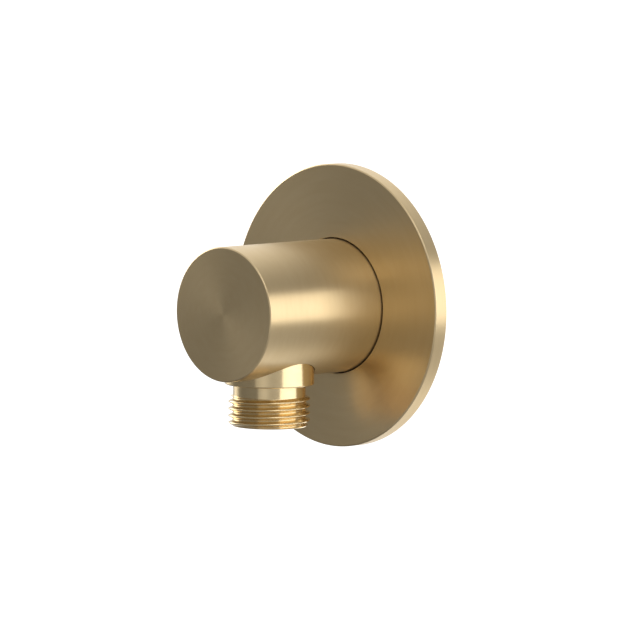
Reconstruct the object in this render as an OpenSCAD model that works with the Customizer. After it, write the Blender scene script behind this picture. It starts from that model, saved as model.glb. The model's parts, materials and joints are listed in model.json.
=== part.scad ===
// Wall outlet elbow for a shower hose: a turned round body on a flat round flange, with a threaded
// outlet that points down, a nipple that screws into the wall, and a spring-loaded check valve.
// The wall is the plane y = 0, the body stands out along -Y, and the outlet points down along -Z.

/* [Wall flange] */
// Outer diameter of the flange
flange_d = 73; // [60:1:100]
// Thickness of the flange, from the wall to its front face
flange_t = 4; // [3.5:0.1:5]
// Chamfer on the front edge of the flange
flange_edge = 0.3; // [0.2:0.05:1]
// Thickness of the front plate, in front of the hollow back
plate_t = 1.8; // [1:0.1:2.5]
// Width of the land round the rim that lies on the wall
rim_land_w = 1.6; // [1:0.1:4]
// Wall of the hub outside the groove for its O-ring
hub_wall = 2.2; // [1.5:0.1:4]
// Open gap between the body and the hole in the flange
flange_gap = 0.35; // [0.2:0.05:0.8]
// Play between the wall gasket and the lands on both sides of it
gasket_play = 0.5; // [0.2:0.1:1]

/* [Elbow body] */
// Diameter of the body
body_d = 34.5; // [33:0.5:40]
// Distance from the wall to the front face of the body
body_l = 44; // [41:0.5:60]
// Chamfer on the front and back edges of the body
body_edge = 0.3; // [0.2:0.05:1]
// Gap between the wall and the back of the body
body_back_gap = 0.5; // [0.3:0.1:1.5]
// Diameter of the water chamber
chamber_d = 12; // [8:0.5:13]
// Depth of the chamber past the far side of the outlet bore
chamber_past = 0.8; // [0.2:0.1:2]
// Brass left between the nipple socket and the outlet bore
bore_web = 0.9; // [0.6:0.1:1.2]
// Chamfer at the mouth of the nipple socket
socket_mouth = 0.8; // [0.3:0.1:1.2]

/* [Wall nipple] */
// Major diameter of the G 1/2 pipe thread, on the wall nipple and on the outlet
thread_d = 20.955; // [20.9:0.005:21]
// Length of the thread that goes into the wall
wall_thread_l = 14; // [10:0.5:20]
// Chamfer on the free end of both pipe threads
thread_edge = 0.9; // [0.5:0.1:1.2]
// Diameter of the plain spigot inside the body
spigot_d = 19; // [18:0.1:19.6]
// Radial play of the spigot in the socket
spigot_play = 0.05; // [0.03:0.01:0.1]
// Play between the end of the spigot and the floor of the socket
spigot_end_play = 0.4; // [0.2:0.1:0.8]
// Land in front of, between and behind the spigot's O-ring grooves
spigot_land = 0.8; // [0.6:0.1:1]
// Width across flats of the hex key that drives both nipples
key_af = 12; // [10:0.5:12]
// Depth of the hex socket in the wall nipple
wall_key_depth = 8; // [5:0.5:10]
// Difference between the hex socket and the round bore behind it
key_step = 0.5; // [0.3:0.1:1]

/* [Grub screw] */
// Diameter of the grub screw
screw_d = 4; // [3:0.5:5]
// Distance from the body's surface to the grub screw's outer end
screw_recess = 0.75; // [0.3:0.05:2]
// Width across flats of its hex socket
screw_key_af = 2; // [1.5:0.5:2]
// Depth of its hex socket
screw_key_depth = 2.5; // [1.5:0.1:3]
// Distance from the flange's front face to the edge of the screw hole
screw_face_gap = 0.6; // [0.3:0.1:1]
// Depth of the locking groove in the spigot
lock_groove = 1; // [0.6:0.1:1.2]

/* [Outlet] */
// Distance from the wall to the axis of the outlet
outlet_off = 27.2; // [27:0.1:30]
// Distance from the body's axis down to the end of the outlet
outlet_drop = 29.5; // [28:0.5:34]
// Diameter of the collar
collar_d = 22.9; // [22.6:0.1:25]
// Radial play of the collar in its counterbore
collar_play = 0.15; // [0.05:0.05:0.3]
// Distance from the body's axis down to the collar's upper shoulder
collar_top = 10.5; // [10.2:0.1:12]
// Distance from the body's axis down to the collar's lower face
collar_drop = 18.8; // [18:0.1:20.5]
// Chamfer on the collar's lower edge
collar_edge = 0.25; // [0.1:0.05:0.6]
// Diameter of the neck between the collar and the hose thread
neck_d = 18.6; // [17:0.1:19.5]
// Length of the hose thread
hose_thread_l = 7.7; // [6:0.1:10]
// Diameter of the thread that screws into the body
stub_d = 20; // [19:0.5:21]
// Length of that thread
stub_thread_l = 3; // [2:0.1:4]
// Depth of the undercut between that thread and the collar
stub_relief = 0.8; // [0.5:0.1:1]
// Play between the top of that thread and the end of its bore
stub_end_play = 0.4; // [0.2:0.1:0.8]
// Depth of the hex socket in the outlet's end
outlet_key_depth = 4; // [3:0.5:5]
// Distance from the outlet's end to the floor of the valve pocket
pocket_floor_up = 5.5; // [5.2:0.1:7]

/* [O-rings] */
// Section of the O-ring between the flange and the body
flange_ring = 1.8; // [1.5:0.1:2]
// Section of the two O-rings on the wall nipple
spigot_ring = 1.5; // [1.2:0.1:1.8]
// Section of the O-ring under the collar
outlet_ring = 1.8; // [1.5:0.1:2]
// Section of the O-ring round the valve
valve_ring = 1.5; // [1.2:0.1:1.6]
// Share of its section by which a fitted O-ring is squeezed
squeeze_share = 0.17; // [0.1:0.01:0.25]
// Width of a groove as a share of its O-ring's section
groove_share = 1.3; // [1.2:0.05:1.4]

/* [Check valve] */
// Outer diameter of the valve
valve_d = 14.5; // [14:0.1:15]
// Radial play of the valve in its pocket
valve_play = 0.05; // [0.02:0.01:0.1]
// Length of the valve
valve_l = 16.5; // [15.5:0.1:17.5]
// Least depth of the valve below the top of the outlet nipple
valve_cover = 1; // [0.5:0.1:1.4]
// Length of the upper ring that the poppet closes on
ring_l = 5.5; // [5:0.1:6.5]
// Wall of the valve housing
housing_wall = 1.05; // [0.8:0.05:1.3]
// Wall of the skirt that centres the upper ring in the housing
skirt_wall = 0.6; // [0.4:0.05:0.8]
// Length of that skirt
skirt_l = 1.2; // [0.8:0.1:1.4]
// Gap between the poppet's disc and the skirt
disc_gap = 0.3; // [0.2:0.05:0.5]
// Height of the closing lip under the upper ring
lip_h = 0.6; // [0.3:0.05:0.9]
// Width of that lip
lip_w = 0.6; // [0.4:0.05:0.8]
// Margin between that lip and the edge of the poppet's seal
lip_margin = 0.2; // [0.1:0.05:0.3]
// Depth of the lead-in cone at the top of the upper ring
lead_in = 1.5; // [0.8:0.1:1.6]
// Thickness of the poppet's seal
seal_t = 1; // [0.6:0.1:1.4]
// Radius of the poppet's core through its seal
core_r = 3; // [2.4:0.1:3.2]
// Rim of the poppet's nose over its seal
nose_rim = 0.5; // [0.3:0.1:0.6]
// Height of that rim, below the round of the nose
nose_rim_h = 0.4; // [0.2:0.1:0.8]
// Thickness of the poppet's disc
disc_t = 1.2; // [0.8:0.1:1.6]
// Travel of the poppet
lift = 2.5; // [1.5:0.1:3]
// Diameter of the poppet's stem
stem_d = 3; // [2:0.1:3.4]
// Radial play of the stem in its guide
stem_play = 0.08; // [0.05:0.01:0.1]
// Wall of the stem's guide
guide_wall = 1; // [0.7:0.1:1.2]
// Height of the guide above the spokes
guide_h = 1.2; // [0.6:0.1:1.6]
// Width of the spokes
spoke_w = 1.2; // [0.8:0.1:2]
// Number of spokes
spokes = 3; // [3:1:5]
// Distance from the stem's end up from the floor of the valve
stem_up = 0.6; // [0.3:0.1:1]

/* [Valve spring] */
// Wire diameter
wire_d = 0.5; // [0.4:0.05:0.6]
// Number of turns
turns = 4.5; // [3.5:0.5:5]
// Turns that lie flat at each end
flat_turns = 0.6; // [0.3:0.1:0.6]
// Gap between the guide and the inside of the spring
spring_gap = 0.4; // [0.2:0.1:0.6]
// Height of the fully pressed spring as a share of its stacked wire
spring_share = 1.2; // [1.15:0.05:1.4]

/* [Hidden] */
$fn = 96;
wire_sides = 8;
steps_per_turn = 20;
over = 1;
hex = 6;

body_r = body_d / 2;
thread_r = thread_d / 2;
spigot_r = spigot_d / 2;
socket_r = spigot_r + spigot_play;
chamber_r = chamber_d / 2;
key_bore_r = (key_af - key_step) / 2;
stub_r = stub_d / 2;
relief_r = stub_r - stub_relief;
collar_r = collar_d / 2;
collar_bore_r = collar_r + collar_play;
neck_r = neck_d / 2;

// Gland of an O-ring: its depth from wall to wall, and its width
function gland_depth(section) = section * (1 - squeeze_share);
function gland_width(section) = section * groove_share;

// Along the wall axis, as distances from the wall
seal_pocket_r = relief_r + gland_depth(outlet_ring);
socket_end = outlet_off - seal_pocket_r - bore_web;
spigot_end = socket_end - spigot_end_play;
front_groove = spigot_end - spigot_land - gland_width(spigot_ring);
rear_groove = front_groove - spigot_land - gland_width(spigot_ring);
chamber_end = outlet_off + chamber_r + chamber_past;
drill_point = chamber_r * tan(31);
screw_off = flange_t + screw_face_gap + screw_d / 2;
lock_floor_r = spigot_r - lock_groove;
screw_l = body_r - screw_recess - lock_floor_r;

// The flange
flange_r = flange_d / 2;
flange_hole_r = body_r + flange_gap;
flange_groove_r = body_r + gland_depth(flange_ring);
flange_groove_at = (flange_t - gland_width(flange_ring)) / 2;
hub_r = flange_groove_r + hub_wall;
rim_r = flange_r - rim_land_w;
recess = flange_t - plate_t;

// Along the outlet axis, as heights below the body's axis
collar_shoulder_z = -collar_top;
hose_thread_z = -outlet_drop + hose_thread_l;
pocket_floor_z = -outlet_drop + pocket_floor_up;
pocket_r = valve_d / 2 + valve_play;
valve_top_z = pocket_floor_z + valve_l;
relief_z = collar_shoulder_z + gland_depth(outlet_ring);
stub_top_z = max(relief_z + stub_thread_l, valve_top_z + valve_cover);
stub_bore_top_z = stub_top_z + stub_end_play;

// The valve
valve_r = valve_d / 2;
joint_z = valve_top_z - ring_l;
housing_in_r = valve_r - housing_wall;
skirt_in_r = housing_in_r - skirt_wall;
disc_r = skirt_in_r - disc_gap;
lip_out_r = disc_r - lip_margin;
throat_r = lip_out_r - lip_w;
closing_z = joint_z - lip_h;
disc_top_z = closing_z - seal_t;
disc_z = disc_top_z - disc_t;
nose_r = core_r + nose_rim;
stem_r = stem_d / 2;
guide_in_r = stem_r + stem_play;
guide_r = guide_in_r + guide_wall;
spring_open_l = wire_d * turns * spring_share;
spoke_top_z = disc_z - lift - spring_open_l;
coil_r = guide_r + spring_gap + wire_d / 2;
valve_groove_z = (joint_z + valve_top_z - lead_in) / 2 - gland_width(valve_ring) / 2;

brass = [0.62, 0.53, 0.37];
bright_brass = [0.78, 0.67, 0.44];
rubber = [0.12, 0.12, 0.12];
valve_plastic = [0.88, 0.88, 0.86];
steel = [0.72, 0.73, 0.74];

// Turns a profile about the wall axis; the profile's second coordinate is the distance from the wall
module about_wall_axis() {
    rotate([90, 0, 0])
        rotate_extrude()
            children();
}

// Turns a profile about the outlet axis; the profile's second coordinate is the height
module about_outlet_axis() {
    translate([0, -outlet_off, 0])
        rotate_extrude()
            children();
}

// Rectangle between two radii and two places along the axis
module band(r_in, r_out, from, to) {
    translate([r_in, from])
        square([r_out - r_in, to - from]);
}

// Section of an O-ring squeezed between two walls, middle at a place along the axis
module squeezed_ring(section, r_in, r_out, middle) {
    intersection() {
        translate([(r_in + r_out) / 2, middle])
            circle(d = section);
        band(r_in, r_out, middle - section, middle + section);
    }
}

// Hex socket that opens at the origin and goes up
module hex_socket(across_flats, depth) {
    translate([0, 0, -over])
        cylinder(d = across_flats / cos(30), h = depth + over, $fn = hex);
}

module wall_flange() {
    color(brass)
        about_wall_axis()
            difference() {
                polygon([
                    [flange_hole_r, 0],
                    [hub_r, 0],
                    [hub_r, recess],
                    [rim_r, recess],
                    [rim_r, 0],
                    [flange_r, 0],
                    [flange_r, flange_t - flange_edge],
                    [flange_r - flange_edge, flange_t],
                    [flange_hole_r, flange_t],
                ]);
                band(0, flange_groove_r, flange_groove_at, flange_t - flange_groove_at);
            }
}

module flange_o_ring() {
    color(rubber)
        about_wall_axis()
            squeezed_ring(flange_ring, body_r, flange_groove_r, flange_t / 2);
}

module wall_gasket() {
    color(rubber)
        about_wall_axis()
            band(hub_r + gasket_play, rim_r - gasket_play, 0, recess);
}

// The round bar that the body is turned from
module body_bar() {
    about_wall_axis()
        polygon([
            [0, body_back_gap],
            [body_r - body_edge, body_back_gap],
            [body_r, body_back_gap + body_edge],
            [body_r, body_l - body_edge],
            [body_r - body_edge, body_l],
            [0, body_l],
        ]);
}

// Socket for the nipple and the drilled chamber in front of it
module body_wall_bores() {
    about_wall_axis()
        union() {
            polygon([
                [0, body_back_gap - over],
                [socket_r + socket_mouth + over, body_back_gap - over],
                [socket_r, body_back_gap + socket_mouth],
                [socket_r, socket_end],
                [0, socket_end],
            ]);
            polygon([
                [0, socket_end - over],
                [chamber_r, socket_end - over],
                [chamber_r, chamber_end],
                [0, chamber_end + drill_point],
            ]);
        }
}

// Waterway, thread, seal pocket and counterbore for the outlet, from the top down
module body_outlet_bores() {
    about_outlet_axis()
        union() {
            band(0, chamber_r, stub_bore_top_z - over, 0);
            band(0, stub_r, relief_z - over, stub_bore_top_z);
            band(0, seal_pocket_r, collar_shoulder_z - over, relief_z);
            band(0, collar_bore_r, -body_r - over, collar_shoulder_z);
        }
}

module elbow_body() {
    color(brass)
        difference() {
            body_bar();
            body_wall_bores();
            body_outlet_bores();
            translate([0, -screw_off, -body_r - over])
                cylinder(d = screw_d, h = body_r + over);
        }
}

// Nipple before its hex socket is cut
module wall_nipple_blank() {
    about_wall_axis()
        difference() {
            polygon([
                [key_bore_r, -wall_thread_l],
                [thread_r - thread_edge, -wall_thread_l],
                [thread_r, -wall_thread_l + thread_edge],
                [thread_r, 0],
                [spigot_r, 0],
                [spigot_r, screw_off - lock_groove],
                [lock_floor_r, screw_off],
                [spigot_r, screw_off + lock_groove],
                [spigot_r, spigot_end],
                [key_bore_r, spigot_end],
            ]);
            for (groove = [front_groove, rear_groove])
                band(socket_r - gland_depth(spigot_ring), thread_r, groove, groove + gland_width(spigot_ring));
        }
}

module wall_nipple() {
    color(bright_brass)
        difference() {
            wall_nipple_blank();
            translate([0, -spigot_end, 0])
                rotate([-90, 0, 0])
                    hex_socket(key_af, wall_key_depth);
        }
}

// O-ring in one of the nipple's grooves, given the groove's near edge
module nipple_o_ring(groove) {
    color(rubber)
        about_wall_axis()
            squeezed_ring(
                spigot_ring,
                socket_r - gland_depth(spigot_ring),
                socket_r,
                groove + gland_width(spigot_ring) / 2
            );
}

module grub_screw() {
    color(steel)
        translate([0, -screw_off, -lock_floor_r])
            difference() {
                rotate_extrude()
                    polygon([
                        [0, 0],
                        [screw_d / 2, -screw_d / 2],
                        [screw_d / 2, -screw_l],
                        [0, -screw_l],
                    ]);
                translate([0, 0, -screw_l])
                    hex_socket(screw_key_af, screw_key_depth);
            }
}

// Outlet nipple before its hex socket is cut, from its top end down
module outlet_nipple_blank() {
    about_outlet_axis()
        polygon([
            [pocket_r, stub_top_z],
            [stub_r, stub_top_z],
            [stub_r, relief_z],
            [relief_r, relief_z],
            [relief_r, collar_shoulder_z],
            [collar_r, collar_shoulder_z],
            [collar_r, -collar_drop + collar_edge],
            [collar_r - collar_edge, -collar_drop],
            [neck_r, -collar_drop],
            [neck_r, hose_thread_z],
            [thread_r - thread_edge / 2, hose_thread_z],
            [thread_r, hose_thread_z - thread_edge / 2],
            [thread_r, -outlet_drop + thread_edge],
            [thread_r - thread_edge, -outlet_drop],
            [key_bore_r, -outlet_drop],
            [key_bore_r, pocket_floor_z],
            [pocket_r, pocket_floor_z],
        ]);
}

module outlet_nipple() {
    color(bright_brass)
        difference() {
            outlet_nipple_blank();
            translate([0, -outlet_off, -outlet_drop])
                hex_socket(key_af, outlet_key_depth);
        }
}

module outlet_o_ring() {
    color(rubber)
        about_outlet_axis()
            intersection() {
                squeezed_ring(outlet_ring, relief_r, seal_pocket_r, (relief_z + collar_shoulder_z) / 2);
                band(relief_r, seal_pocket_r, collar_shoulder_z, relief_z);
            }
}

module valve_housing() {
    color(valve_plastic) {
        about_outlet_axis()
            union() {
                band(housing_in_r, valve_r, pocket_floor_z, joint_z);
                band(guide_in_r, guide_r, pocket_floor_z, spoke_top_z + guide_h);
            }
        for (i = [0 : spokes - 1])
            translate([0, -outlet_off, pocket_floor_z])
                rotate([0, 0, 90 + i * 360 / spokes])
                    translate([guide_r - guide_wall / 2, -spoke_w / 2, 0])
                        cube([
                            housing_in_r + housing_wall / 2 - guide_r + guide_wall / 2,
                            spoke_w,
                            spoke_top_z - pocket_floor_z
                        ]);
    }
}

module valve_upper_ring() {
    color(valve_plastic)
        about_outlet_axis()
            difference() {
                polygon([
                    [throat_r, valve_top_z - lead_in],
                    [skirt_in_r, valve_top_z],
                    [valve_r, valve_top_z],
                    [valve_r, joint_z],
                    [housing_in_r, joint_z],
                    [housing_in_r, joint_z - skirt_l],
                    [skirt_in_r, joint_z - skirt_l],
                    [skirt_in_r, joint_z],
                    [lip_out_r, joint_z],
                    [lip_out_r, closing_z],
                    [throat_r, closing_z],
                ]);
                band(
                    pocket_r - gland_depth(valve_ring),
                    pocket_r,
                    valve_groove_z,
                    valve_groove_z + gland_width(valve_ring)
                );
            }
}

module valve_o_ring() {
    color(rubber)
        about_outlet_axis()
            squeezed_ring(
                valve_ring,
                pocket_r - gland_depth(valve_ring),
                pocket_r,
                valve_groove_z + gland_width(valve_ring) / 2
            );
}

module valve_poppet() {
    color(valve_plastic)
        about_outlet_axis()
            union() {
                intersection() {
                    translate([0, closing_z + nose_rim_h])
                        circle(r = nose_r);
                    band(0, nose_r, closing_z + nose_rim_h, closing_z + nose_rim_h + nose_r);
                }
                band(0, nose_r, closing_z, closing_z + nose_rim_h);
                band(0, core_r, disc_top_z, closing_z);
                band(0, disc_r, disc_z, disc_top_z);
                band(0, stem_r, pocket_floor_z + stem_up, disc_z);
            }
}

module poppet_seal() {
    color(rubber)
        about_outlet_axis()
            band(core_r, disc_r, disc_top_z, closing_z);
}

// Height of the middle of the wire after t turns, from the spokes up to the disc
spring_rise = disc_z - spoke_top_z - wire_d;
open_turns = turns - 2 * flat_turns;
function wire_z(t) = spring_rise * min(1, max(0, (t - flat_turns) / open_turns));

// One point of the wire's skin: s counts rings along the wire, and k counts points round it
function wire_point(s, k) =
    let (t = s / steps_per_turn, turn = 360 * t, round = 360 * k / wire_sides)
    let (r = coil_r + wire_d / 2 * cos(round))
    [r * cos(turn), r * sin(turn), wire_z(t) + wire_d / 2 * sin(round)];

module valve_spring() {
    last = turns * steps_per_turn;
    points = [for (s = [0 : last]) for (k = [0 : wire_sides - 1]) wire_point(s, k)];
    skin = [
        for (s = [0 : last - 1])
            for (k = [0 : wire_sides - 1])
                let (n = (k + 1) % wire_sides)
                [
                    s * wire_sides + k,
                    s * wire_sides + n,
                    (s + 1) * wire_sides + n,
                    (s + 1) * wire_sides + k,
                ]
    ];
    start = [for (k = [wire_sides - 1 : -1 : 0]) k];
    end = [for (k = [0 : wire_sides - 1]) last * wire_sides + k];
    color(steel)
        translate([0, -outlet_off, spoke_top_z + wire_d / 2])
            polyhedron(points, concat([start], skin, [end]));
}

wall_flange();
flange_o_ring();
wall_gasket();
elbow_body();
wall_nipple();
nipple_o_ring(front_groove);  // nipple_o_ring_front
nipple_o_ring(rear_groove);  // nipple_o_ring_rear
grub_screw();
outlet_nipple();
outlet_o_ring();
valve_housing();
valve_upper_ring();
valve_o_ring();
valve_poppet();
poppet_seal();
valve_spring();
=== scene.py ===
"""Wall outlet elbow for a shower hose, in brushed brass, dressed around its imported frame.

Lengths are millimetres, and points and sizes turn to metres where they are given to Blender. The wall is the
plane y = 0, the body stands out along -Y, and the outlet points down along -Z.
"""

from __future__ import annotations

import json
import logging
import math
from collections.abc import Callable, Iterator, Mapping, Sequence
from contextlib import contextmanager
from dataclasses import dataclass, field
from enum import Enum

import bmesh
import bpy
from mathutils import Matrix, Vector

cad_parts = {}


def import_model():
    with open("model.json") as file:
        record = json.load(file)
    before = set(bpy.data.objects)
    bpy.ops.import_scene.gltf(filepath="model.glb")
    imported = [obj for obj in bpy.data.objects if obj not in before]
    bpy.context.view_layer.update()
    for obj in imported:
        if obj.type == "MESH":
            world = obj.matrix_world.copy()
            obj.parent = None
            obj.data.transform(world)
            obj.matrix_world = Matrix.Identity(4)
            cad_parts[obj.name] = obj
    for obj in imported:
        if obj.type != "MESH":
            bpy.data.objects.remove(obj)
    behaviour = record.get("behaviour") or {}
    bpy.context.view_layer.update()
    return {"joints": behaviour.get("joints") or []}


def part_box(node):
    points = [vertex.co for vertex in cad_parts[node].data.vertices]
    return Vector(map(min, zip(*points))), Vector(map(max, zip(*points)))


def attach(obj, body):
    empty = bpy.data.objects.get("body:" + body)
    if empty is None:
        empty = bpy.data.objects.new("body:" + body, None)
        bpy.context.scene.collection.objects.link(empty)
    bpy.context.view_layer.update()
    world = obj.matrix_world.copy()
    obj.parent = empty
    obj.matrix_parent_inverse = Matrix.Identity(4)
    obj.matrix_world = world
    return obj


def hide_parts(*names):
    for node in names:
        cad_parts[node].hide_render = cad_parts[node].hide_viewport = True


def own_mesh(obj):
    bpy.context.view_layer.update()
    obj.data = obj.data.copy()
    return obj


log = logging.getLogger("wall_outlet")

MM = 0.001
MERGE = 0.001 * MM
OVER = 1.0
FITTING = "fitting"
POPPET = "poppet"

Outline = list[tuple[float, float]]


class Slot(Enum):
    """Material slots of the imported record."""

    SATIN_BRASS = "satin_brass"
    TURNED_BRASS = "turned_brass"
    RING_RUBBER = "ring_rubber"
    GASKET_RUBBER = "gasket_rubber"
    VALVE_PLASTIC = "valve_plastic"
    SPRING_STEEL = "spring_steel"
    SCREW_STEEL = "screw_steel"


@dataclass(frozen=True)
class Axis:
    """Axis that pieces are turned about.

    A point of an outline is its radius and its place along the axis.
    """

    origin: Vector
    along: Vector
    radial: Vector = field(default_factory=lambda: Vector((1, 0, 0)))

    def at(self, radius: float, place: float) -> Vector:
        """Gives a point of an outline in the row frame, in metres.

        Args:
            radius: Distance from the axis.
            place: Place along the axis.

        Returns:
            The point.
        """
        return (self.origin + self.radial * radius + self.along * place) * MM


def measure(node: str) -> tuple[Vector, Vector]:
    """Gives the lowest and highest corner of a frame node.

    Args:
        node: Name of the node.

    Returns:
        The two corners, in millimetres.
    """
    low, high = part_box(node)
    return low / MM, high / MM


WALL_AXIS = Axis(Vector((0, 0, 0)), Vector((0, -1, 0)))


def outlet_axis() -> Axis:
    """Gives the axis of the outlet, whose places are heights above the body's axis."""
    low, high = measure("outlet_nipple")
    return Axis(Vector((0, (low.y + high.y) / 2, 0)), Vector((0, 0, 1)))


# Modelling


def select_only(obj: bpy.types.Object) -> None:
    """Makes one object the only selected and the active one.

    Args:
        obj: The object.
    """
    bpy.ops.object.select_all(action="DESELECT")
    obj.select_set(True)
    bpy.context.view_layer.objects.active = obj


@contextmanager
def editing(obj: bpy.types.Object, pick: str = "VERT") -> Iterator[None]:
    """Holds one object in edit mode with nothing in it selected.

    Args:
        obj: The object.
        pick: Kind of element that is selected, VERT, EDGE or FACE.

    Yields:
        Nothing.
    """
    select_only(obj)
    bpy.ops.object.mode_set(mode="EDIT")
    bpy.ops.mesh.select_mode(type=pick)
    bpy.ops.mesh.select_all(action="DESELECT")
    yield
    bpy.ops.object.mode_set(mode="OBJECT")


def pick_points(obj: bpy.types.Object, wanted: Callable[[bmesh.types.BMVert], bool]) -> None:
    """Selects the points of a mesh in edit mode that pass a test, and no others.

    Args:
        obj: The object, in edit mode.
        wanted: The test.
    """
    mesh = bmesh.from_edit_mesh(obj.data)
    for point in mesh.verts:
        point.select_set(wanted(point))
    mesh.select_flush_mode()
    bmesh.update_edit_mesh(obj.data)


def close_up() -> None:
    """Merges the doubles of the mesh in edit mode and turns its faces outwards."""
    bpy.ops.mesh.select_all(action="SELECT")
    bpy.ops.mesh.remove_doubles(threshold=MERGE)
    bpy.ops.mesh.normals_make_consistent(inside=False)


def apply_modifier(obj: bpy.types.Object, kind: str, **settings: object) -> None:
    """Adds a modifier to an object and applies it.

    Args:
        obj: The object.
        kind: Type of the modifier.
        **settings: Its properties.
    """
    modifier = obj.modifiers.new(kind.lower(), kind)
    for name, value in settings.items():
        setattr(modifier, name, value)
    select_only(obj)
    bpy.ops.object.modifier_apply(modifier=modifier.name)


def draw(name: str, points: Sequence[Vector], closed: bool) -> bpy.types.Object:
    """Draws a line of edges from point to point, as a mesh that starts from a merged plane.

    Args:
        name: Name of the object.
        points: The points, in metres.
        closed: Whether the last point joins the first.

    Returns:
        The object, in object mode.
    """
    bpy.ops.object.select_all(action="DESELECT")
    bpy.ops.mesh.primitive_plane_add(size=MM)
    obj = bpy.context.active_object
    obj.name = name
    obj.data.name = name
    ends = list(points[1:]) + list(points[:1] if closed else [])
    bpy.ops.object.mode_set(mode="EDIT")
    bpy.ops.mesh.select_mode(type="VERT")
    bpy.ops.mesh.select_all(action="SELECT")
    bpy.ops.mesh.merge(type="CENTER")
    bpy.ops.transform.translate(value=points[0])
    for start, end in zip(points, ends):
        bpy.ops.mesh.extrude_region_move(TRANSFORM_OT_translate={"value": end - start})
    bpy.ops.mesh.select_all(action="SELECT")
    bpy.ops.mesh.remove_doubles(threshold=MERGE)
    bpy.ops.object.mode_set(mode="OBJECT")
    return obj


def turn(name: str, outline: Outline, axis: Axis, steps: int = 192) -> bpy.types.Object:
    """Turns an outline about an axis to a closed solid.

    Args:
        name: Name of the object.
        outline: Radius and place of each corner. An outline that starts and ends on the axis stays
            open there.
        axis: The axis.
        steps: Steps in the whole turn.

    Returns:
        The solid.
    """
    on_axis = outline[0][0] == 0 and outline[-1][0] == 0
    obj = draw(name, [axis.at(*corner) for corner in outline], closed=not on_axis)
    with editing(obj):
        bpy.ops.mesh.select_all(action="SELECT")
        bpy.ops.mesh.spin(steps=steps, angle=math.tau, center=axis.origin * MM, axis=axis.along)
        close_up()
    return obj


def cut(obj: bpy.types.Object, tool: bpy.types.Object) -> None:
    """Cuts a tool's shape out of an object and throws the tool away.

    Args:
        obj: The object that is cut.
        tool: The tool.
    """
    apply_modifier(obj, "BOOLEAN", object=tool, operation="DIFFERENCE", solver="EXACT")
    bpy.data.objects.remove(tool, do_unlink=True)
    with editing(obj):
        close_up()
        bpy.ops.mesh.dissolve_degenerate(threshold=MERGE)


def hex_key(name: str, across_flats: float, axis: Axis, start: float, end: float) -> bpy.types.Object:
    """Makes the cutter of a hex socket, a six-sided bar whose corners lie on X.

    Args:
        name: Name of the object.
        across_flats: Width across the flats.
        axis: Axis of the socket.
        start: Place of the socket's mouth.
        end: Place of its floor.

    Returns:
        The cutter.
    """
    corner = across_flats / 2 / math.cos(math.pi / 6)
    outside = start - OVER if start < end else start + OVER
    return turn(name, [(0, outside), (corner, outside), (corner, end), (0, end)], axis, steps=6)


def round_edges(obj: bpy.types.Object, width: float, segments: int = 3, angle: float = 30) -> None:
    """Rounds the sharp edges of a solid.

    Args:
        obj: The solid.
        width: Width of the rounding.
        segments: Steps across the rounding.
        angle: Least angle of an edge that counts as sharp, in degrees.
    """
    apply_modifier(
        obj,
        "BEVEL",
        limit_method="ANGLE",
        angle_limit=math.radians(angle),
        width=width * MM,
        segments=segments,
        use_clamp_overlap=False,
    )


def smooth(obj: bpy.types.Object, angle: float = 30) -> None:
    """Shades a solid smooth, apart from its sharp edges, with normals that follow its large faces.

    Args:
        obj: The solid.
        angle: Least angle of an edge that stays sharp, in degrees.
    """
    select_only(obj)
    bpy.ops.object.shade_smooth_by_angle(angle=math.radians(angle), keep_sharp_edges=False)
    apply_modifier(obj, "WEIGHTED_NORMAL", mode="FACE_AREA", weight=50, keep_sharp=True)


def copy_node(node: str, name: str) -> bpy.types.Object:
    """Copies a frame node's mesh to a new object and merges its loose triangles.

    Args:
        node: Name of the node.
        name: Name of the new object.

    Returns:
        The copy.
    """
    mesh = bpy.data.objects[node].data.copy()
    mesh.name = name
    mesh.materials.clear()
    obj = bpy.data.objects.new(name, mesh)
    bpy.context.scene.collection.objects.link(obj)
    with editing(obj):
        close_up()
        bpy.ops.mesh.dissolve_limited(angle_limit=math.radians(0.5))
    return obj


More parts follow.
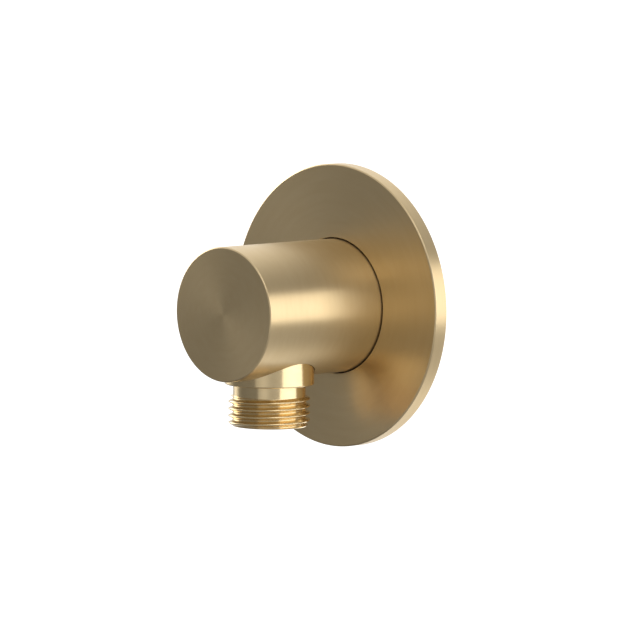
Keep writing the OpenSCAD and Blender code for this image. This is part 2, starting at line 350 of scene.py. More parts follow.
@dataclass(frozen=True)
class Thread:
    """Screw thread with rounded crests and roots, cut as a right-hand helical groove."""

    radius: float
    pitch: float
    depth: float
    rounding: float
    half_angle: float
    crest_flat: float = 0.04
    steps: int = 96

    @staticmethod
    def pipe(radius: float) -> Thread:
        """Gives the G 1/2 pipe thread, 14 turns to the inch with flanks at 55 degrees.

        Args:
            radius: Radius over the crests.

        Returns:
            The thread.
        """
        pitch = 25.4 / 14
        return Thread(radius, pitch, depth=0.6403 * pitch, rounding=0.1373 * pitch, half_angle=27.5)

    @staticmethod
    def metric(radius: float, pitch: float) -> Thread:
        """Gives a metric thread, with flanks at 60 degrees.

        Args:
            radius: Radius over the crests.
            pitch: Distance from turn to turn.

        Returns:
            The thread.
        """
        return Thread(
            radius,
            pitch,
            depth=0.6134 * pitch,
            rounding=0.1263 * pitch,
            half_angle=30,
            crest_flat=0.03,
            steps=48,
        )

    def section(self) -> Outline:
        """Gives the groove's section, as radius and distance along the axis from the groove's middle."""
        root_centre = self.radius - self.depth + self.rounding
        crest_centre = self.radius - self.rounding
        turned = math.radians(90 - self.half_angle)
        least = math.asin(self.crest_flat / self.rounding)
        crest = [least + (turned - least) * i / 3 for i in range(4)]
        root = [turned * i / 3 for i in range(1, 4)]
        side = [
            (crest_centre + self.rounding * math.cos(a), self.pitch / 2 - self.rounding * math.sin(a))
            for a in crest
        ]
        floor = [
            (root_centre - self.rounding * math.cos(a), self.rounding * math.sin(a)) for a in reversed(root)
        ]
        upper = [(self.radius + OVER / 2, side[0][1])] + side + floor
        lower = [(radius, -place) for radius, place in reversed(upper)]
        return upper + [(self.radius - self.depth, 0.0)] + lower

    def groove(self, name: str, low: float, high: float, phase: float, fade: int = 0) -> bpy.types.Object:
        """Makes the cutter of the groove about the Z axis.

        Args:
            name: Name of the object.
            low: Least height that the groove runs to.
            high: Most height that it runs to.
            phase: Height of a crest at angle 0.
            fade: Steps of the upper end over which the groove runs out to the surface.

        Returns:
            The cutter.
        """
        start = phase + self.pitch / 2 + math.floor((low - phase) / self.pitch - 0.5) * self.pitch
        section = self.section()
        points = [Vector((radius, 0, start + place)) * MM for radius, place in section]
        turns = math.ceil((high - start) / self.pitch)
        cutter = draw(name, points, closed=True)
        apply_modifier(
            cutter,
            "SCREW",
            axis="Z",
            angle=math.tau,
            screw_offset=self.pitch * MM,
            iterations=turns,
            steps=self.steps,
            render_steps=self.steps,
            use_merge_vertices=False,
        )
        rings = turns * self.steps + 1
        excess = round((start + turns * self.pitch - high) / self.pitch * self.steps)
        self.trim(cutter, len(section), rings, excess, fade)
        return cutter

    def trim(self, cutter: bpy.types.Object, size: int, rings: int, excess: int, fade: int) -> None:
        """Takes the last rings off the cutter, lifts those before them out of the metal, and closes its ends.

        Args:
            cutter: The cutter, whose points lie ring after ring.
            size: Points in a ring.
            rings: Rings in the cutter.
            excess: Rings that are taken off.
            fade: Rings that are lifted, each more than the one before.
        """
        last = rings - excess
        with editing(cutter):
            for step in range(fade):
                ring = last - fade + step
                pick_points(cutter, lambda point, ring=ring: point.index // size == ring)
                lift = 1 + 1.3 * self.depth / self.radius * (step + 1) / fade
                bpy.ops.transform.resize(value=(lift, lift, 1), center_override=(0, 0, 0))
            pick_points(cutter, lambda point: point.index >= last * size)
            bpy.ops.mesh.delete(type="VERT")
            bpy.ops.mesh.select_all(action="SELECT")
            bpy.ops.mesh.fill_holes(sides=0)
            bpy.ops.mesh.normals_make_consistent(inside=False)


# Finishes


def linear(colour: str, alpha: float = 1.0) -> tuple[float, float, float, float]:
    """Turns an sRGB hex colour to linear light.

    Args:
        colour: The colour, such as "#C0A060".
        alpha: The fourth value.

    Returns:
        The colour that a shader socket takes.
    """
    shares = [int(colour[i : i + 2], 16) / 255 for i in (1, 3, 5)]
    red, green, blue = (s / 12.92 if s <= 0.04045 else ((s + 0.055) / 1.055) ** 2.4 for s in shares)
    return red, green, blue, alpha


def add_node(
    tree: bpy.types.NodeTree, kind: str, inputs: Mapping[str | int, object], **settings: object
) -> bpy.types.Node:
    """Adds a node with its settings and links.

    Args:
        tree: The tree that gets the node.
        kind: Type of the node.
        inputs: A value or a socket to link for each input, by name or number.
        **settings: The node's own properties.

    Returns:
        The node.
    """
    node = tree.nodes.new(kind)
    for name, value in settings.items():
        setattr(node, name, value)
    for key, value in inputs.items():
        if isinstance(value, bpy.types.NodeSocket):
            tree.links.new(value, node.inputs[key])
        else:
            node.inputs[key].default_value = value
    return node


def new_material(name: str) -> tuple[bpy.types.Material, bpy.types.NodeTree]:
    """Makes a material with an empty node tree.

    Args:
        name: Name of the material.

    Returns:
        The material and its tree.
    """
    material = bpy.data.materials.new(name)
    material.use_nodes = True
    material.node_tree.nodes.clear()
    return material, material.node_tree


def finish_material(tree: bpy.types.NodeTree, surface: Mapping[str | int, object]) -> None:
    """Adds the surface shader and the output to a material's tree.

    Args:
        tree: The tree.
        surface: Values and sockets of the surface shader, by name.
    """
    shader = add_node(tree, "ShaderNodeBsdfPrincipled", surface)
    add_node(tree, "ShaderNodeOutputMaterial", {"Surface": shader.outputs["BSDF"]})


@dataclass(frozen=True)
class LatheMarks:
    """Coordinates and streaks that a turning tool or a brush leaves round an axis."""

    axis: Axis
    line: float
    arc: float

    def millimetres(self, tree: bpy.types.NodeTree) -> bpy.types.NodeSocket:
        """Adds Object coordinates in millimetres with the axis at their middle.

        Args:
            tree: The tree.

        Returns:
            The coordinates.
        """
        coordinates = add_node(tree, "ShaderNodeTexCoord", {})
        mapping = add_node(
            tree,
            "ShaderNodeMapping",
            {"Vector": coordinates.outputs["Object"], "Location": -self.axis.origin, "Scale": (1 / MM,) * 3},
        )
        return mapping.outputs["Vector"]

    def tangent(self, tree: bpy.types.NodeTree) -> bpy.types.NodeSocket:
        """Adds the direction in which the marks run, round the axis.

        Args:
            tree: The tree.

        Returns:
            The direction.
        """
        turned = add_node(
            tree,
            "ShaderNodeVectorMath",
            {0: self.axis.along, 1: self.millimetres(tree)},
            operation="CROSS_PRODUCT",
        )
        return add_node(
            tree, "ShaderNodeVectorMath", {0: turned.outputs[0]}, operation="NORMALIZE"
        ).outputs[0]

    def streaks(self, tree: bpy.types.NodeTree, line: float | None = None) -> bpy.types.NodeSocket:
        """Adds noise that is drawn out round the axis.

        Args:
            tree: The tree.
            line: Width of a streak, or None for that of the marks.

        Returns:
            The noise, from 0 to 1.
        """
        place = self.millimetres(tree)
        along = add_node(tree, "ShaderNodeVectorMath", {0: place, 1: self.axis.along}, operation="DOT_PRODUCT")
        across = Vector((1, 1, 1)) - Vector([abs(x) for x in self.axis.along])
        outward = add_node(tree, "ShaderNodeVectorMath", {0: place, 1: across}, operation="MULTIPLY")
        radius = add_node(tree, "ShaderNodeVectorMath", {0: outward.outputs[0]}, operation="LENGTH")
        direction = add_node(tree, "ShaderNodeVectorMath", {0: outward.outputs[0]}, operation="NORMALIZE")
        turned = add_node(
            tree, "ShaderNodeVectorMath", {0: direction.outputs[0], "Scale": self.arc}, operation="SCALE"
        )
        round_parts = add_node(tree, "ShaderNodeSeparateXYZ", {0: turned.outputs[0]})
        second = "Z" if self.axis.along.y else "Y"
        scale = 1 / (line or self.line)
        fine_radius = add_node(
            tree, "ShaderNodeMath", {0: radius.outputs["Value"], 1: scale}, operation="MULTIPLY"
        )
        fine_along = add_node(
            tree, "ShaderNodeMath", {0: along.outputs["Value"], 1: scale}, operation="MULTIPLY"
        )
        point = add_node(
            tree,
            "ShaderNodeCombineXYZ",
            {"X": fine_radius.outputs[0], "Y": fine_along.outputs[0], "Z": round_parts.outputs["X"]},
        )
        noise = add_node(
            tree,
            "ShaderNodeTexNoise",
            {"Vector": point.outputs[0], "W": round_parts.outputs[second], "Scale": 1.0, "Detail": 2.0},
            noise_dimensions="4D",
        )
        return noise.outputs["Fac"]


@dataclass(frozen=True)
class Brass:
    """Brass that was turned or brushed in circles.

    The marks run round the axis, so a light is drawn out across them: to fans on a face, and to a long
    soft band on a side.
    """

    name: str
    slot: Slot
    marks: LatheMarks
    low: str
    high: str
    roughness: float
    spread: float
    grain: float
    anisotropic: float

    def make(self) -> bpy.types.Material:
        """Makes the material."""
        material, tree = new_material(self.name)
        lines = self.marks.streaks(tree)
        bands = self.marks.streaks(tree, line=self.marks.line * 12)
        colour = add_node(
            tree,
            "ShaderNodeMix",
            {0: bands, 6: linear(self.low), 7: linear(self.high)},
            data_type="RGBA",
        )
        roughness = add_node(
            tree,
            "ShaderNodeMapRange",
            {"Value": lines, "To Min": self.roughness - self.spread, "To Max": self.roughness + self.spread},
        )
        bump = add_node(
            tree, "ShaderNodeBump", {"Height": lines, "Strength": self.grain, "Distance": 0.01 * MM}
        )
        finish_material(
            tree,
            {
                "Base Color": colour.outputs[2],
                "Metallic": 1.0,
                "Roughness": roughness.outputs[0],
                "Anisotropic": self.anisotropic,
                "Anisotropic Rotation": 0.25,
                "Tangent": self.marks.tangent(tree),
                "Normal": bump.outputs[0],
            },
        )
        return material


@dataclass(frozen=True)
class SpeckledFinish:
    """Moulded or drawn material with an even speckle, such as rubber, acetal or steel wire."""

    name: str
    slot: Slot
    low: str
    high: str
    metallic: float
    roughness: float
    spread: float
    speckle: float
    relief: float
    sheen: float = 0.0

    def make(self) -> bpy.types.Material:
        """Makes the material."""
        material, tree = new_material(self.name)
        coordinates = add_node(tree, "ShaderNodeTexCoord", {})
        noise = add_node(
            tree,
            "ShaderNodeTexNoise",
            {"Vector": coordinates.outputs["Object"], "Scale": 1 / (self.speckle * MM), "Detail": 3.0},
        )
        fac = noise.outputs["Fac"]
        colour = add_node(
            tree, "ShaderNodeMix", {0: fac, 6: linear(self.low), 7: linear(self.high)}, data_type="RGBA"
        )
        roughness = add_node(
            tree,
            "ShaderNodeMapRange",
            {"Value": fac, "To Min": self.roughness - self.spread, "To Max": self.roughness + self.spread},
        )
        bump = add_node(
            tree, "ShaderNodeBump", {"Height": fac, "Strength": 0.6, "Distance": self.relief * MM}
        )
        finish_material(
            tree,
            {
                "Base Color": colour.outputs[2],
                "Metallic": self.metallic,
                "Roughness": roughness.outputs[0],
                "Sheen Weight": self.sheen,
                "Normal": bump.outputs[0],
            },
        )
        return material


@dataclass
class Bench:
    """What the sub-assemblies share: the outlet's axis, the frame's joints and the finishes made so far."""

    outlet: Axis
    joints: list[dict]
    made: dict[str, bpy.types.Material] = field(default_factory=dict)

    def satin_brass(self) -> Brass:
        """Brass brushed in circles about the wall axis: soft fans and a soft bright band."""
        marks = LatheMarks(WALL_AXIS, line=0.12, arc=3.0)
        return Brass(
            "brushed_satin_brass", Slot.SATIN_BRASS, marks, "#E2C899", "#EAD3A8",
            roughness=0.34, spread=0.03, grain=0.12, anisotropic=0.6,
        )  # fmt: skip

    def turned_brass(self, axis: Axis) -> Brass:
        """Brass as it left the turning tool: brighter, with sharper edges to its reflections.

        Args:
            axis: Axis of the turned piece.

        Returns:
            The finish.
        """
        name = "turned_brass_wall" if axis is WALL_AXIS else "turned_brass_outlet"
        marks = LatheMarks(axis, line=0.1, arc=3.0)
        return Brass(
            name, Slot.TURNED_BRASS, marks, "#E6CC9C", "#EED8AC",
            roughness=0.2, spread=0.03, grain=0.1, anisotropic=0.4,
        )  # fmt: skip

    def ring_rubber(self) -> SpeckledFinish:
        """Greased nitrile rubber: near black, with a wet gloss."""
        return SpeckledFinish(
            "nitrile_rubber", Slot.RING_RUBBER, "#141414", "#1E1E1D",
            metallic=0.0, roughness=0.38, spread=0.08, speckle=0.4, relief=0.01,
        )  # fmt: skip

    def gasket_rubber(self) -> SpeckledFinish:
        """Closed-cell foam rubber: matt dark grey with small open cells."""
        return SpeckledFinish(
            "foam_rubber", Slot.GASKET_RUBBER, "#232322", "#3A3A38",
            metallic=0.0, roughness=0.85, spread=0.1, speckle=0.5, relief=0.12, sheen=0.3,
        )  # fmt: skip

    def acetal(self) -> SpeckledFinish:
        """Injection-moulded acetal: off-white and waxy."""
        return SpeckledFinish(
            "moulded_acetal", Slot.VALVE_PLASTIC, "#E4E3DC", "#F0EFE9",
            metallic=0.0, roughness=0.35, spread=0.06, speckle=0.6, relief=0.004,
        )  # fmt: skip

    def spring_steel(self) -> SpeckledFinish:
        """Drawn stainless wire: grey and bright."""
        return SpeckledFinish(
            "stainless_wire", Slot.SPRING_STEEL, "#B9BABB", "#CFD0D1",
            metallic=1.0, roughness=0.25, spread=0.06, speckle=0.2, relief=0.002,
        )  # fmt: skip

    def screw_steel(self) -> SpeckledFinish:
        """Turned stainless steel: a darker grey with a dull gloss."""
        return SpeckledFinish(
            "stainless_screw", Slot.SCREW_STEEL, "#8F8F8F", "#A5A6A6",
            metallic=1.0, roughness=0.32, spread=0.08, speckle=0.15, relief=0.003,
        )  # fmt: skip

    def put_on(self, obj: bpy.types.Object, finish: Brass | SpeckledFinish) -> None:
        """Gives an object a finish, and makes the material when it is first used.

        Args:
            obj: The object.
            finish: The finish.
        """
        if finish.name not in self.made:
            self.made[finish.name] = finish.make()
        obj.data.materials.clear()
        obj.data.materials.append(self.made[finish.name])

    def dress_piece(
        self, obj: bpy.types.Object, finish: Brass | SpeckledFinish, node: str, body: str = FITTING
    ) -> None:
        """Gives a new piece its finish and its body, and hides the frame node that it stands for.

        Args:
            obj: The piece.
            finish: Its finish.
            node: The node.
            body: The body.
        """
        self.put_on(obj, finish)
        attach(obj, body)
        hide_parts(node)
        log.info("%s: %d faces, stands for %s", obj.name, len(obj.data.polygons), node)

    def dress_node(self, node: str, finish: Brass | SpeckledFinish) -> None:
        """Gives a frame node that stays a finish.

        Args:
            node: The node.
            finish: The finish.
        """
        obj = bpy.data.objects[node]
        self.put_on(obj, finish)
        log.info("%s: kept from the frame", node)


# Sub-assemblies


@dataclass
class WallFlange:
    """Round flange with a hollow back, the O-ring in its hub and the gasket behind it."""

    bench: Bench
    hole_play: float = 0.35
    edge: float = 0.3
    groove_w: float = 2.34
    hub_wall: float = 2.2
    rim_land: float = 1.6

    def plate(self) -> bpy.types.Object:
        """Turns the flange."""
        low, high = measure("wall_flange")
        radius, front = high.x, -low.y
        hole = measure("elbow_body")[1].x + self.hole_play
        groove = measure("flange_o_ring")[1].x
        recess = -measure("wall_gasket")[0].y
        hub = groove + self.hub_wall
        rim = radius - self.rim_land
        near, far = (front - self.groove_w) / 2, (front + self.groove_w) / 2
        outline = [
            (hole, 0), (hub, 0), (hub, recess), (rim, recess), (rim, 0), (radius, 0),
            (radius, front - self.edge), (radius - self.edge, front), (hole, front),
            (hole, far), (groove, far), (groove, near), (hole, near),
        ]  # fmt: skip
        plate = turn("flange_plate", outline, WALL_AXIS, steps=256)
        round_edges(plate, width=0.08)
        smooth(plate)
        return plate

    def build(self) -> None:
        """Builds the flange and its seals."""
        self.bench.dress_piece(self.plate(), self.bench.satin_brass(), "wall_flange")
        gasket = copy_node("wall_gasket", "foam_gasket")
        round_edges(gasket, width=0.25)
        smooth(gasket)
        self.bench.dress_piece(gasket, self.bench.gasket_rubber(), "wall_gasket")
        self.bench.dress_node("flange_o_ring", self.bench.ring_rubber())


@dataclass
class ElbowBody:
    """Turned round body with its bores, and the grub screw that locks it on the wall nipple."""

    bench: Bench
    edge: float = 0.3
    socket_mouth: float = 0.8
    socket_end_play: float = 0.4
    chamber_r: float = 6.0
    chamber_past: float = 0.8
    drill_angle: float = 31
    stub_r: float = 10.0
    stub_end_play: float = 0.4
    collar_play: float = 0.15
    screw_key: float = 2.0
    screw_key_depth: float = 2.5
    screw_pitch: float = 0.7
    screw_edge: float = 0.25
    mouth_reach: float = 0.02

    def bar(self) -> bpy.types.Object:
        """Turns the body with its socket and chamber."""
        low, high = measure("elbow_body")
        radius, front, back = high.x, -low.y, -high.y
        socket = measure("nipple_o_ring_front")[1].x
        socket_end = -measure("wall_nipple")[0].y + self.socket_end_play
        chamber_end = -self.bench.outlet.origin.y + self.chamber_r + self.chamber_past
        drill_point = self.chamber_r * math.tan(math.radians(self.drill_angle))
        outline = [
            (0, chamber_end + drill_point), (self.chamber_r, chamber_end), (self.chamber_r, socket_end),
            (socket, socket_end), (socket, back + self.socket_mouth), (socket + self.socket_mouth, back),
            (radius - self.edge, back), (radius, back + self.edge), (radius, front - self.edge),
            (radius - self.edge, front), (0, front),
        ]  # fmt: skip
        bar = turn("body_shell", outline, WALL_AXIS, steps=256)
        round_edges(bar, width=0.08)
        return bar

    def outlet_bores(self) -> bpy.types.Object:
        """Turns the cutter of the bores for the outlet."""
        ring_low, ring_high = measure("outlet_o_ring")
        body_r = measure("elbow_body")[1].x
        counterbore = measure("outlet_nipple")[1].x + self.collar_play
        top = measure("outlet_nipple")[1].z + self.stub_end_play
        outline = [
            (0, 0), (self.chamber_r, 0), (self.chamber_r, top), (self.stub_r, top), (self.stub_r, ring_high.z),
            (ring_high.x, ring_high.z), (ring_high.x, ring_low.z), (counterbore, ring_low.z),
            (counterbore, -body_r - OVER), (0, -body_r - OVER),
        ]  # fmt: skip
        return turn("outlet_bores", outline, self.bench.outlet, steps=160)

    def screw_axis(self) -> Axis:
        """Gives the axis of the grub screw."""
        low, high = measure("grub_screw")
        return Axis(Vector((0, (low.y + high.y) / 2, 0)), Vector((0, 0, 1)))

    def round_mouth(self, shell: bpy.types.Object, axis: Axis, bore_r: float, width: float) -> None:
        """Rounds the edge where a bore leaves the body's side.

        Args:
            shell: The body.
            axis: Axis of the bore.
            bore_r: Radius of the bore.
            width: Width of the rounding.
        """
        body_r = measure("elbow_body")[1].x

        def on_mouth(point: bmesh.types.BMVert) -> bool:
            place = point.co / MM
            off_side = abs(place.xz.length - body_r)
            off_bore = abs((place - axis.origin).xy.length - bore_r)
            return off_side < self.mouth_reach and off_bore < self.mouth_reach and place.z < 0

        with editing(shell):
            pick_points(shell, on_mouth)
            bpy.ops.mesh.remove_doubles(threshold=width * MM)
            pick_points(shell, on_mouth)
            bpy.ops.mesh.bevel(offset=width * MM, segments=2, affect="EDGES", clamp_overlap=False)

    def shell(self) -> bpy.types.Object:
        """Makes the finished body."""
        shell = self.bar()
        cut(shell, self.outlet_bores())
        hole_r = measure("grub_screw")[1].x
        below = measure("elbow_body")[0].z - OVER
        axis = self.screw_axis()
        cut(shell, turn("screw_hole", [(0, 0), (hole_r, 0), (hole_r, below), (0, below)], axis, steps=48))
        counterbore_r = measure("outlet_nipple")[1].x + self.collar_play
        self.round_mouth(shell, self.bench.outlet, counterbore_r, width=0.1)
        self.round_mouth(shell, axis, hole_r, width=0.06)
        smooth(shell)
        return shell

    def grub_screw(self) -> bpy.types.Object:
        """Makes the grub screw, with its thread, cone point and hex socket."""
        low, high = measure("grub_screw")
        radius = high.x
        axis = self.screw_axis()
        outline = [
            (0, high.z), (radius, high.z - radius), (radius, low.z + self.screw_edge),
            (radius - self.screw_edge, low.z), (0, low.z),
        ]  # fmt: skip
        screw = turn("locking_screw", outline, axis, steps=64)
        thread = Thread.metric(radius, self.screw_pitch)
        groove = thread.groove("screw_groove", low.z - self.screw_pitch, high.z, low.z)
        with editing(groove):
            bpy.ops.mesh.select_all(action="SELECT")
            bpy.ops.transform.translate(value=axis.origin * MM)
        cut(screw, groove)
        cut(screw, hex_key("screw_key", self.screw_key, axis, low.z, low.z + self.screw_key_depth))
        smooth(screw)
        return screw

    def build(self) -> None:
        """Builds the body and its grub screw."""
        self.bench.dress_piece(self.shell(), self.bench.satin_brass(), "elbow_body")
        self.bench.dress_piece(self.grub_screw(), self.bench.screw_steel(), "grub_screw")


@dataclass
class WallNipple:
    """Nipple that screws into the wall and plugs into the body, with its two O-rings."""

    bench: Bench
    key: float = 12.0
    key_step: float = 0.5
    key_depth: float = 8.0
    thread_edge: float = 0.9
    spigot_r: float = 9.5
    lock_groove: float = 1.0
    ring_groove_w: float = 1.95
    ring_groove_depth: float = 1.245

    def blank(self) -> bpy.types.Object:
        """Turns the nipple with its grooves."""
        low, high = measure("wall_nipple")
        thread_r, back, front = high.x, -high.y, -low.y
        bore = (self.key - self.key_step) / 2
        lock = -(measure("grub_screw")[0].y + measure("grub_screw")[1].y) / 2
        floor = measure("nipple_o_ring_front")[1].x - self.ring_groove_depth
        outline = [
            (bore, back), (thread_r - self.thread_edge, back), (thread_r, back + self.thread_edge),
            (thread_r, 0), (self.spigot_r, 0), (self.spigot_r, lock - self.lock_groove),
            (self.spigot_r - self.lock_groove, lock), (self.spigot_r, lock + self.lock_groove),
        ]  # fmt: skip
        for ring in ("nipple_o_ring_rear", "nipple_o_ring_front"):
            middle = -(measure(ring)[0].y + measure(ring)[1].y) / 2
            near, far = middle - self.ring_groove_w / 2, middle + self.ring_groove_w / 2
            outline += [(self.spigot_r, near), (floor, near), (floor, far), (self.spigot_r, far)]
        outline += [(self.spigot_r, front), (bore, front)]
        blank = turn("wall_thread_nipple", outline, WALL_AXIS, steps=160)
        round_edges(blank, width=0.05, segments=2)
        return blank

    def nipple(self) -> bpy.types.Object:
        """Makes the finished nipple."""
        low, high = measure("wall_nipple")
        nipple = self.blank()
        thread = Thread.pipe(high.x)
        groove = thread.groove("wall_groove", -high.y - thread.pitch, -1.0, -high.y, fade=16)
        select_only(groove)
        groove.rotation_euler = (math.pi / 2, 0, 0)
        bpy.ops.object.transform_apply()
        cut(nipple, groove)
        cut(nipple, hex_key("wall_key", self.key, WALL_AXIS, -low.y, -low.y - self.key_depth))
        smooth(nipple)
        return nipple

    def build(self) -> None:
        """Builds the nipple and its O-rings."""
        self.bench.dress_piece(self.nipple(), self.bench.turned_brass(WALL_AXIS), "wall_nipple")
        for ring in ("nipple_o_ring_front", "nipple_o_ring_rear"):
            self.bench.dress_node(ring, self.bench.ring_rubber())


@dataclass
class OutletNipple:
    """Nipple under the body that the hose screws on, with its O-ring."""

    bench: Bench
    key: float = 12.0
    key_step: float = 0.5
    key_depth: float = 4.0
    stub_r: float = 10.0
    stub_relief: float = 0.8
    collar_drop: float = 18.8
    collar_edge: float = 0.25
    neck_r: float = 9.3
    hose_thread_l: float = 7.7
    thread_edge: float = 0.9
    crest_at_front: float = -24.6
    front_angle: float = 315

    def blank(self) -> bpy.types.Object:
        """Turns the nipple with its valve pocket."""
        low, high = measure("outlet_nipple")
        ring_low, ring_high = measure("outlet_o_ring")
        thread_r = measure("wall_nipple")[1].x
        bore = (self.key - self.key_step) / 2
        pocket = measure("valve_o_ring")[1].x
        floor = measure("valve_housing")[0].z
        start = low.z + self.hose_thread_l
        collar = high.x
        outline = [
            (pocket, high.z), (self.stub_r, high.z), (self.stub_r, ring_high.z),
            (self.stub_r - self.stub_relief, ring_high.z), (self.stub_r - self.stub_relief, ring_low.z),
            (collar, ring_low.z), (collar, -self.collar_drop + self.collar_edge),
            (collar - self.collar_edge, -self.collar_drop), (self.neck_r, -self.collar_drop),
            (self.neck_r, start), (thread_r - self.thread_edge / 2, start),
            (thread_r, start - self.thread_edge / 2), (thread_r, low.z + self.thread_edge),
            (thread_r - self.thread_edge, low.z), (bore, low.z), (bore, floor), (pocket, floor),
        ]  # fmt: skip
        blank = turn("hose_thread_nipple", outline, self.bench.outlet, steps=192)
        round_edges(blank, width=0.05, segments=2)
        return blank

    def nipple(self) -> bpy.types.Object:
        """Makes the finished nipple."""
        low = measure("outlet_nipple")[0]
        axis = self.bench.outlet
        nipple = self.blank()
        thread = Thread.pipe(measure("wall_nipple")[1].x)
        phase = self.crest_at_front - self.front_angle / 360 * thread.pitch
        groove = thread.groove("hose_groove", low.z - thread.pitch, -self.collar_drop - thread.pitch, phase)
        with editing(groove):
            bpy.ops.mesh.select_all(action="SELECT")
            bpy.ops.transform.translate(value=axis.origin * MM)
        cut(nipple, groove)
        cut(nipple, hex_key("hose_key", self.key, axis, low.z, low.z + self.key_depth))
        smooth(nipple)
        return nipple

    def build(self) -> None:
        """Builds the nipple and its O-ring."""
        outlet = self.bench.outlet
        self.bench.dress_piece(self.nipple(), self.bench.turned_brass(outlet), "outlet_nipple")
        self.bench.dress_node("outlet_o_ring", self.bench.ring_rubber())


@dataclass
class CheckValve:
    """Spring-loaded check valve in the outlet: housing, upper ring, poppet, seal, spring and O-ring."""

    bench: Bench
    joint: str = "poppet_lift"
    turns: float = 4.5
    flat_turns: float = 0.6
    steps: int = 48
    wire_sides: int = 12
    wire_r: float = 0.25

    def spring(self) -> bpy.types.Object:
        """Winds the spring, with a flat turn at each end."""
        low, high = measure("valve_spring")
        outer = high.x
        coil_r = outer - self.wire_r
        rise = high.z - low.z - 2 * self.wire_r
        centre = self.bench.outlet.origin * MM
        bpy.ops.object.select_all(action="DESELECT")
        bpy.ops.mesh.primitive_circle_add(vertices=self.wire_sides, radius=self.wire_r * MM)
        spring = bpy.context.active_object
        spring.name = "wire_spring"
        spring.rotation_euler = (math.pi / 2, 0, 0)
        bpy.ops.object.transform_apply()
        count = round(self.turns * self.steps)
        open_turns = self.turns - 2 * self.flat_turns
        heights = [
            rise * min(1.0, max(0.0, (i / self.steps - self.flat_turns) / open_turns))
            for i in range(count + 1)
        ]
        with editing(spring):
            bpy.ops.mesh.select_all(action="SELECT")
            bpy.ops.transform.translate(value=centre + Vector((coil_r, 0, low.z + self.wire_r)) * MM)
            for before, after in zip(heights, heights[1:]):
                bpy.ops.mesh.spin(steps=1, angle=-math.tau / self.steps, center=centre, axis=(0, 0, 1))
                bpy.ops.transform.translate(value=(0, 0, (after - before) * MM))
            bpy.ops.mesh.select_all(action="SELECT")
            bpy.ops.mesh.fill_holes(sides=0)
            close_up()
        smooth(spring, 40)
        return spring

    def build(self) -> None:
        """Builds the valve."""
        spring = self.spring()
        self.bench.dress_piece(spring, self.bench.spring_steel(), "valve_spring")
        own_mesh(spring)
        for node, name, body in (
            ("valve_housing", "valve_cage", FITTING),
            ("valve_upper_ring", "valve_seat_ring", FITTING),
            ("valve_poppet", "valve_plunger", POPPET),
        ):
            piece = copy_node(node, name)
            round_edges(piece, width=0.1, segments=2)
            smooth(piece)
            self.bench.dress_piece(piece, self.bench.acetal(), node, body)
        for ring in ("valve_o_ring", "poppet_seal"):
            self.bench.dress_node(ring, self.bench.ring_rubber())


# Studio


def toward(azimuth: float, elevation: float) -> Vector:
    """Gives a direction in the studio.

    Args:
        azimuth: Degrees from the fitting's front towards its right.
        elevation: Degrees above the level.

    Returns:
        The direction, of length 1.
    """
    turned, raised = math.radians(azimuth), math.radians(elevation)
    level = math.cos(raised)
    return Vector((math.sin(turned) * level, -math.cos(turned) * level, math.sin(raised)))


@dataclass(frozen=True)
class Glow:
    """Soft patch of light on the walls of the studio, brightest in its middle."""

    azimuth: float
    elevation: float
    sharpness: float
    radiance: float

    def add(self, tree: bpy.types.NodeTree, direction: bpy.types.NodeSocket) -> bpy.types.NodeSocket:
        """Adds the patch to the world.

        Args:
            tree: The world's tree.
            direction: The direction that is looked in.

        Returns:
            The patch's light in that direction.
        """
        middle = toward(self.azimuth, self.elevation)
        near = add_node(tree, "ShaderNodeVectorMath", {0: direction, 1: middle}, operation="DOT_PRODUCT")
        fall = add_node(
            tree,
            "ShaderNodeMath",
            {0: near.outputs["Value"], 1: self.sharpness, 2: -self.sharpness},
            operation="MULTIPLY_ADD",
        )
        share = add_node(tree, "ShaderNodeMath", {0: fall.outputs[0]}, operation="EXPONENT")
        return add_node(
            tree, "ShaderNodeMath", {0: share.outputs[0], 1: self.radiance}, operation="MULTIPLY"
        ).outputs[0]


@dataclass(frozen=True)
class Softbox:
    """Square or oblong studio light that faces the fitting."""

    name: str
    azimuth: float
    elevation: float
    distance: float
    width: float
    height: float
    radiance: float
    tint: str = "#FFFFFF"

    def build(self, target: Vector) -> None:
        """Adds the light.

        Args:
            target: The point that it faces, in metres.
        """
        away = toward(self.azimuth, self.elevation)
        light = bpy.data.lights.new(self.name, "AREA")
        light.shape = "RECTANGLE"
        light.size, light.size_y = self.width, self.height
        light.energy = self.radiance * math.pi * self.width * self.height
        light.color = linear(self.tint)[:3]
        lamp = bpy.data.objects.new(self.name, light)
        lamp.visible_camera = False
        lamp.location = target + away * self.distance
        lamp.rotation_euler = away.to_track_quat("Z", "Y").to_euler()
        bpy.context.scene.collection.objects.link(lamp)


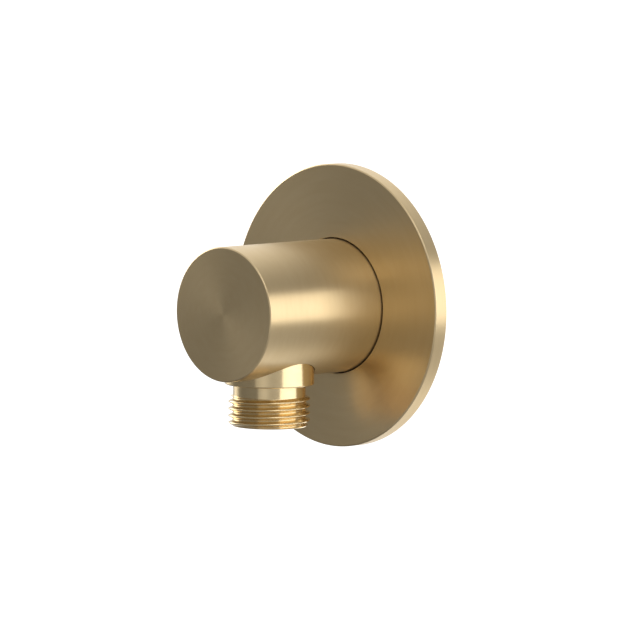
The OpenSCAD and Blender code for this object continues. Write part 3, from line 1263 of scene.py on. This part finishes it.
@dataclass
class Studio:
    """White room with soft light, and the camera at the photograph's angle."""

    azimuth: float = 45.0
    elevation: float = 5.55
    roll: float = 0.53
    focal_px: float = 7811.75
    image_px: float = 640.0
    sensor: float = 36.0
    distance: float = 2000.0
    aim: Vector = field(default_factory=lambda: Vector((0, -22, -2)))
    shift_right: float = 9.10
    shift_up: float = -0.67
    boxes: tuple[Softbox, ...] = (
        Softbox("key_box", azimuth=109, elevation=8, distance=1.2, width=1.45, height=0.82, radiance=1.7),
        Softbox("front_box", azimuth=43, elevation=0, distance=1.2, width=1.6, height=0.8, radiance=0.27),
    )
    glows: tuple[Glow, ...] = (
        # In front, mirrored by the body's face and the flange
        Glow(azimuth=-20, elevation=-15, sharpness=2, radiance=0.17),
        Glow(azimuth=30, elevation=-15, sharpness=25, radiance=0.4),
        Glow(azimuth=0, elevation=-45, sharpness=8, radiance=0.35),
        # At the sides, above and below
        Glow(azimuth=-105, elevation=60, sharpness=3, radiance=1.05),
        Glow(azimuth=-105, elevation=-30, sharpness=8, radiance=0.2),
        Glow(azimuth=105, elevation=-30, sharpness=3, radiance=0.6),
        Glow(azimuth=60, elevation=60, sharpness=12, radiance=1.2),
        Glow(azimuth=75, elevation=45, sharpness=25, radiance=2.2),
        # Behind, mirrored along the tops of the body and the flange
        Glow(azimuth=-90, elevation=15, sharpness=25, radiance=6.0),
        Glow(azimuth=-165, elevation=0, sharpness=8, radiance=3.5),
        Glow(azimuth=-165, elevation=-20, sharpness=12, radiance=1.7),
        Glow(azimuth=150, elevation=-60, sharpness=25, radiance=1.0),
    )

    def camera(self) -> bpy.types.Object:
        """Adds the camera."""
        turned, rolled = math.radians(self.azimuth), math.radians(self.roll)
        back = toward(self.azimuth, self.elevation)
        level = Vector((math.cos(turned), math.sin(turned), 0))
        upright = back.cross(level)
        right = level * math.cos(rolled) + upright * math.sin(rolled)
        up = upright * math.cos(rolled) - level * math.sin(rolled)
        eye = self.aim + right * self.shift_right + up * self.shift_up + back * self.distance
        data = bpy.data.cameras.new("camera")
        data.sensor_width = self.sensor
        data.lens = self.focal_px * self.sensor / self.image_px
        data.clip_start, data.clip_end = 0.05, 100
        camera = bpy.data.objects.new("camera", data)
        turned_to = Matrix((right, up, back)).transposed()
        camera.matrix_world = Matrix.Translation(eye * MM) @ turned_to.to_4x4()
        bpy.context.scene.collection.objects.link(camera)
        bpy.context.scene.camera = camera
        return camera

    def world(self) -> None:
        """Adds the white room: white to the camera, and patches of soft light for reflections."""
        world = bpy.data.worlds.new("studio")
        world.use_nodes = True
        tree = world.node_tree
        tree.nodes.clear()
        direction = add_node(tree, "ShaderNodeTexCoord", {}).outputs["Generated"]
        light = self.glows[0].add(tree, direction)
        for glow in self.glows[1:]:
            light = add_node(
                tree, "ShaderNodeMath", {0: light, 1: glow.add(tree, direction)}, operation="ADD"
            ).outputs[0]
        room = add_node(tree, "ShaderNodeBackground", {"Strength": light})
        white = add_node(tree, "ShaderNodeBackground", {"Color": (1, 1, 1, 1), "Strength": 1.3})
        path = add_node(tree, "ShaderNodeLightPath", {})
        plain = add_node(
            tree,
            "ShaderNodeMath",
            {0: path.outputs["Is Camera Ray"], 1: path.outputs["Is Diffuse Ray"]},
            operation="MAXIMUM",
        )
        mixed = add_node(
            tree,
            "ShaderNodeMixShader",
            {0: plain.outputs[0], 1: room.outputs[0], 2: white.outputs[0]},
        )
        add_node(tree, "ShaderNodeOutputWorld", {"Surface": mixed.outputs[0]})
        bpy.context.scene.world = world

    def build(self) -> None:
        """Builds the studio."""
        self.camera()
        self.world()
        for box in self.boxes:
            box.build(self.aim * MM)
        scene = bpy.context.scene
        scene.view_settings.view_transform = "Standard"
        scene.view_settings.look = "None"
        log.info("studio: %d softboxes", len(self.boxes))


def main() -> None:
    """Builds the fitting around its frame, and the studio round it."""
    logging.basicConfig(level=logging.INFO, format="%(name)s: %(message)s")
    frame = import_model()
    bench = Bench(outlet_axis(), frame["joints"])
    Studio().build()
    for assembly in (WallFlange, ElbowBody, WallNipple, OutletNipple, CheckValve):
        assembly(bench).build()


if __name__ == "__main__":
    main()
